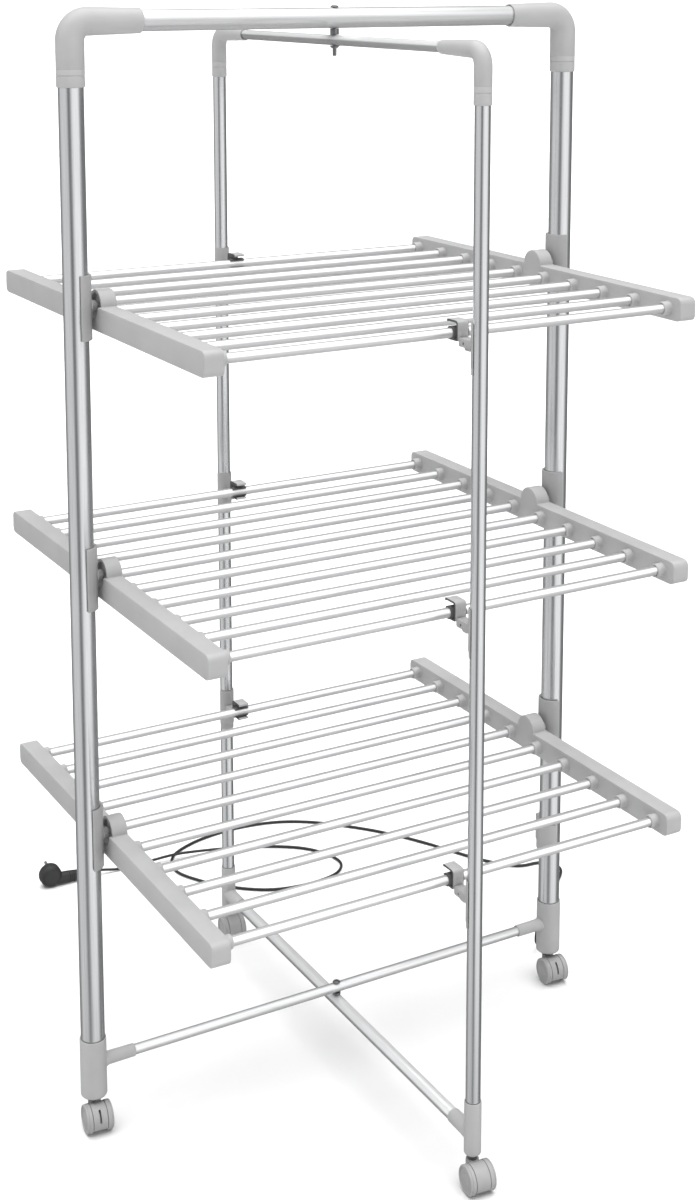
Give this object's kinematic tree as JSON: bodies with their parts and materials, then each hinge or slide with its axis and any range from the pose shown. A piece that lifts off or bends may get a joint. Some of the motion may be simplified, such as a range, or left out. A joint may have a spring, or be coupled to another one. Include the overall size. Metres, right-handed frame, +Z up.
{
  "type": "heated clothes airer",
  "caption": "Three-tier heated clothes airer with two crossing tube frames, tilting rod shelves, snap clips, swivel castors and a mains cord.",
  "frame": {"origin": "on the floor at the centre of the airer's footprint without the cord, 11.5 mm in front of the centre pivots' axis", "axes": "+X along the shelf rods towards the post with the cord outlet, +Y to the rear where the cord lies, +Z up"},
  "size_m": [0.9258, 1.0038, 1.3967],
  "materials": {
    "satin_tube": "satin",
    "bright_rod": "bright polished",
    "frame_plastic": "fine satin",
    "shelf_plastic": "fine satin",
    "wheel_plastic": "fine satin",
    "dark_steel": "dark zinc",
    "black_vinyl": "matt"
  },
  "bodies": {
    "outer_frame": {"wide_post_right": "satin_tube", "wide_post_left": "satin_tube", "wide_elbow_right": "frame_plastic", "wide_elbow_left": "frame_plastic", "wide_foot_sleeve_right": "frame_plastic", "wide_foot_sleeve_left": "frame_plastic", "wide_top_bar": "satin_tube", "wide_low_bar": "satin_tube", "hinge_bracket_lower_right": "frame_plastic", "hinge_bracket_lower_left": "frame_plastic", "hinge_bracket_middle_right": "frame_plastic", "hinge_bracket_middle_left": "frame_plastic", "hinge_bracket_upper_right": "frame_plastic", "hinge_bracket_upper_left": "frame_plastic", "top_pivot_bolt": "dark_steel", "top_pivot_spacer": "dark_steel", "top_pivot_nut": "dark_steel", "low_pivot_bolt": "dark_steel", "low_pivot_spacer": "dark_steel", "cord_outlet": "frame_plastic", "power_cord": "black_vinyl", "plug": "black_vinyl"},
    "inner_frame": {"narrow_post_rear": "satin_tube", "narrow_post_front": "satin_tube", "narrow_elbow_rear": "frame_plastic", "narrow_elbow_front": "frame_plastic", "narrow_foot_sleeve_rear": "frame_plastic", "narrow_foot_sleeve_front": "frame_plastic", "narrow_top_bar": "satin_tube", "narrow_low_bar": "satin_tube", "clip_collar_lower_rear": "frame_plastic", "clip_hook_lower_rear": "frame_plastic", "clip_collar_lower_front": "frame_plastic", "clip_hook_lower_front": "frame_plastic", "clip_collar_middle_rear": "frame_plastic", "clip_hook_middle_rear": "frame_plastic", "clip_collar_middle_front": "frame_plastic", "clip_hook_middle_front": "frame_plastic", "clip_collar_upper_rear": "frame_plastic", "clip_hook_upper_rear": "frame_plastic", "clip_collar_upper_front": "frame_plastic", "clip_hook_upper_front": "frame_plastic"},
    "shelf_lower": {"shelf_lower_rods": "bright_rod", "shelf_lower_rail_right": "shelf_plastic", "shelf_lower_rail_left": "shelf_plastic"},
    "shelf_middle": {"shelf_middle_rods": "bright_rod", "shelf_middle_rail_right": "shelf_plastic", "shelf_middle_rail_left": "shelf_plastic"},
    "shelf_upper": {"shelf_upper_rods": "bright_rod", "shelf_upper_rail_right": "shelf_plastic", "shelf_upper_rail_left": "shelf_plastic"},
    "castor_right_fork": {"castor_right_housing": "wheel_plastic"},
    "castor_right_wheel_pair": {"castor_right_wheels": "wheel_plastic"},
    "castor_left_fork": {"castor_left_housing": "wheel_plastic"},
    "castor_left_wheel_pair": {"castor_left_wheels": "wheel_plastic"},
    "castor_rear_fork": {"castor_rear_housing": "wheel_plastic"},
    "castor_rear_wheel_pair": {"castor_rear_wheels": "wheel_plastic"},
    "castor_front_fork": {"castor_front_housing": "wheel_plastic"},
    "castor_front_wheel_pair": {"castor_front_wheels": "wheel_plastic"}
  },
  "joints": [
    {"name": "inner_frame_fold", "type": "hinge", "parent": "outer_frame", "child": "inner_frame", "pos_m": [0.00076, 0.01148, 1.3524], "axis": [0, 0, 1], "range_deg": [0, 70]},
    {"name": "shelf_lower_tilt", "type": "hinge", "parent": "outer_frame", "child": "shelf_lower", "pos_m": [0.00076, 0.01148, 0.3848], "axis": [-1, 0, 0], "range_deg": [0, 80], "deforming": ["clip_hook_lower_rear", "clip_hook_lower_front"]},
    {"name": "shelf_middle_tilt", "type": "hinge", "parent": "outer_frame", "child": "shelf_middle", "pos_m": [0.00076, 0.01148, 0.71545], "axis": [-1, 0, 0], "range_deg": [0, 80], "deforming": ["clip_hook_middle_rear", "clip_hook_middle_front"]},
    {"name": "shelf_upper_tilt", "type": "hinge", "parent": "outer_frame", "child": "shelf_upper", "pos_m": [0.00076, 0.01148, 1.0461], "axis": [-1, 0, 0], "range_deg": [0, 80], "deforming": ["clip_hook_upper_rear", "clip_hook_upper_front"]},
    {"name": "castor_right_swivel", "type": "hinge", "parent": "outer_frame", "child": "castor_right_fork", "pos_m": [0.34996, 0.01148, 0.038], "axis": [0, 0, 1], "continuous": true},
    {"name": "castor_right_spin", "type": "hinge", "parent": "castor_right_fork", "child": "castor_right_wheel_pair", "pos_m": [0.3485, -0.00244, 0.01775], "axis": [0.9945, -0.1045, 0], "continuous": true},
    {"name": "castor_left_swivel", "type": "hinge", "parent": "outer_frame", "child": "castor_left_fork", "pos_m": [-0.34844, 0.01148, 0.038], "axis": [0, 0, 1], "continuous": true},
    {"name": "castor_left_spin", "type": "hinge", "parent": "castor_left_fork", "child": "castor_left_wheel_pair", "pos_m": [-0.3499, -0.00244, 0.01775], "axis": [0.9945, -0.1045, 0], "continuous": true},
    {"name": "castor_rear_swivel", "type": "hinge", "parent": "inner_frame", "child": "castor_rear_fork", "pos_m": [0.00076, 0.34498, 0.038], "axis": [0, 0, 1], "continuous": true},
    {"name": "castor_rear_spin", "type": "hinge", "parent": "castor_rear_fork", "child": "castor_rear_wheel_pair", "pos_m": [-0.0007, 0.33106, 0.01775], "axis": [0.9945, -0.1045, 0], "continuous": true},
    {"name": "castor_front_swivel", "type": "hinge", "parent": "inner_frame", "child": "castor_front_fork", "pos_m": [0.00076, -0.32202, 0.038], "axis": [0, 0, 1], "continuous": true},
    {"name": "castor_front_spin", "type": "hinge", "parent": "castor_front_fork", "child": "castor_front_wheel_pair", "pos_m": [-0.0007, -0.33594, 0.01775], "axis": [0.9945, -0.1045, 0], "continuous": true}
  ],
  "couplings": [
    {"joint": "shelf_lower_tilt", "follows": "inner_frame_fold", "ratio": 1.14},
    {"joint": "shelf_middle_tilt", "follows": "inner_frame_fold", "ratio": 1.14},
    {"joint": "shelf_upper_tilt", "follows": "inner_frame_fold", "ratio": 1.14}
  ]
}
